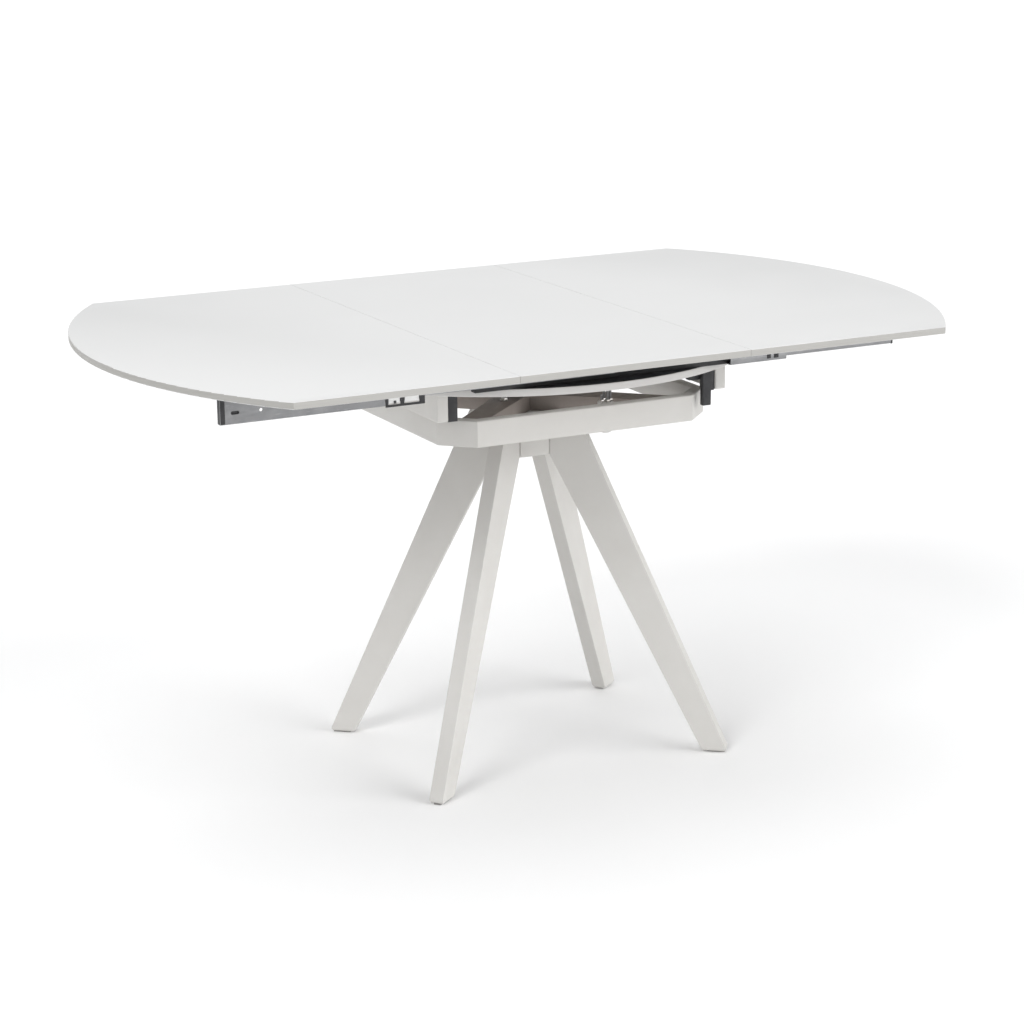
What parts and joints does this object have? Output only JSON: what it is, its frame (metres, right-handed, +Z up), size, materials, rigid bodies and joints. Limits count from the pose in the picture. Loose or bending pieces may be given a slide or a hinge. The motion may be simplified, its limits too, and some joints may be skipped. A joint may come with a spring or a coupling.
{
  "type": "extendable dining table",
  "caption": "Pedestal dining table with a swivelling top whose halves slide apart on telescopic slides around a loose centre leaf, on four splayed plank legs.",
  "frame": {"origin": "on the floor under the middle of the open top", "axes": "+X along the top's length, +Y across it to the back, +Z up"},
  "size_m": [1.4298, 0.9, 0.75],
  "materials": {
    "top_lacquer": "satin white lacquer",
    "frame_paint": "satin off-white powder coat",
    "board_paint": "off-white edge, black upper face",
    "slide_steel": "zinc plated",
    "bearing_steel": "machined",
    "fastener_steel": "zinc plated",
    "black_plastic": "fine grained",
    "rail_paint": "matt black"
  },
  "bodies": {
    "pedestal": {"bearing_balls": "bearing_steel", "bearing_lower_race": "bearing_steel", "brace_arm_back_left": "frame_paint", "brace_arm_back_right": "frame_paint", "brace_arm_front_left": "frame_paint", "brace_arm_front_right": "frame_paint", "brake_bracket": "fastener_steel", "brake_housing": "fastener_steel", "brake_pad": "rail_paint", "foot_glides": "black_plastic", "hub_core": "frame_paint", "hub_cover_plates": "frame_paint", "hub_top_plate": "frame_paint", "leg_back_left": "frame_paint", "leg_back_right": "frame_paint", "leg_bolts": "fastener_steel", "leg_front_left": "frame_paint", "leg_front_right": "frame_paint", "pivot_bolt": "fastener_steel", "pivot_housing": "bearing_steel", "pivot_nut": "fastener_steel", "pivot_washer": "fastener_steel", "ring_back_left_corner": "frame_paint", "ring_back_right_corner": "frame_paint", "ring_back_tube": "frame_paint", "ring_front_left_corner": "frame_paint", "ring_front_right_corner": "frame_paint", "ring_front_tube": "frame_paint", "ring_left_tube": "frame_paint", "ring_right_tube": "frame_paint"},
    "swivel": {"swivel_board": "board_paint", "left_beam": "frame_paint", "right_beam": "frame_paint", "beam_screws": "fastener_steel", "bearing_upper_race": "bearing_steel", "glide_blocks": "black_plastic", "front_support_rail": "rail_paint", "back_support_rail": "rail_paint", "left_front_slide_inner": "slide_steel", "left_back_slide_inner": "slide_steel", "right_front_slide_outer": "slide_steel", "right_back_slide_outer": "slide_steel", "lever_bracket": "black_plastic", "lever_pin": "rail_paint"},
    "left_half": {"left_half_top": "top_lacquer", "left_front_slide_outer": "slide_steel", "left_back_slide_outer": "slide_steel", "left_panel_screws": "fastener_steel"},
    "left_middles": {"left_front_slide_middle": "slide_steel", "left_back_slide_middle": "slide_steel", "left_ball_cages": "black_plastic"},
    "right_half": {"right_half_top": "top_lacquer", "right_front_slide_inner": "slide_steel", "right_back_slide_inner": "slide_steel", "slide_lugs": "slide_steel"},
    "right_middles": {"right_front_slide_middle": "slide_steel", "right_back_slide_middle": "slide_steel", "right_ball_cages": "black_plastic"},
    "leaf": {"centre_leaf": "top_lacquer"},
    "lever": {"lock_lever": "black_plastic"}
  },
  "joints": [
    {"name": "top_swivel", "type": "hinge", "parent": "pedestal", "child": "swivel", "pos_m": [0.032, 0, 0.665], "axis": [0, 0, 1], "range_deg": [0, 90]},
    {"name": "left_half_slide", "type": "slide", "parent": "swivel", "child": "left_half", "axis": [-1, 0, 0], "range_m": [0, 0.03]},
    {"name": "right_half_slide", "type": "slide", "parent": "swivel", "child": "right_half", "axis": [1, 0, 0], "range_m": [0, 0.03]},
    {"name": "left_middle_slide", "type": "slide", "parent": "swivel", "child": "left_middles", "axis": [-1, 0, 0], "range_m": [0, 0.015]},
    {"name": "right_middle_slide", "type": "slide", "parent": "swivel", "child": "right_middles", "axis": [1, 0, 0], "range_m": [0, 0.015]},
    {"name": "leaf_lift", "type": "slide", "parent": "swivel", "child": "leaf", "axis": [0, 0, 1], "range_m": [0, 0.3]},
    {"name": "lock_lever_turn", "type": "hinge", "parent": "swivel", "child": "lever", "pos_m": [0.253, -0.225, 0.668], "axis": [0, -1, 0], "range_deg": [0, 80]}
  ],
  "couplings": [
    {"joint": "left_middle_slide", "follows": "left_half_slide", "ratio": 0.5},
    {"joint": "right_middle_slide", "follows": "right_half_slide", "ratio": 0.5}
  ]
}
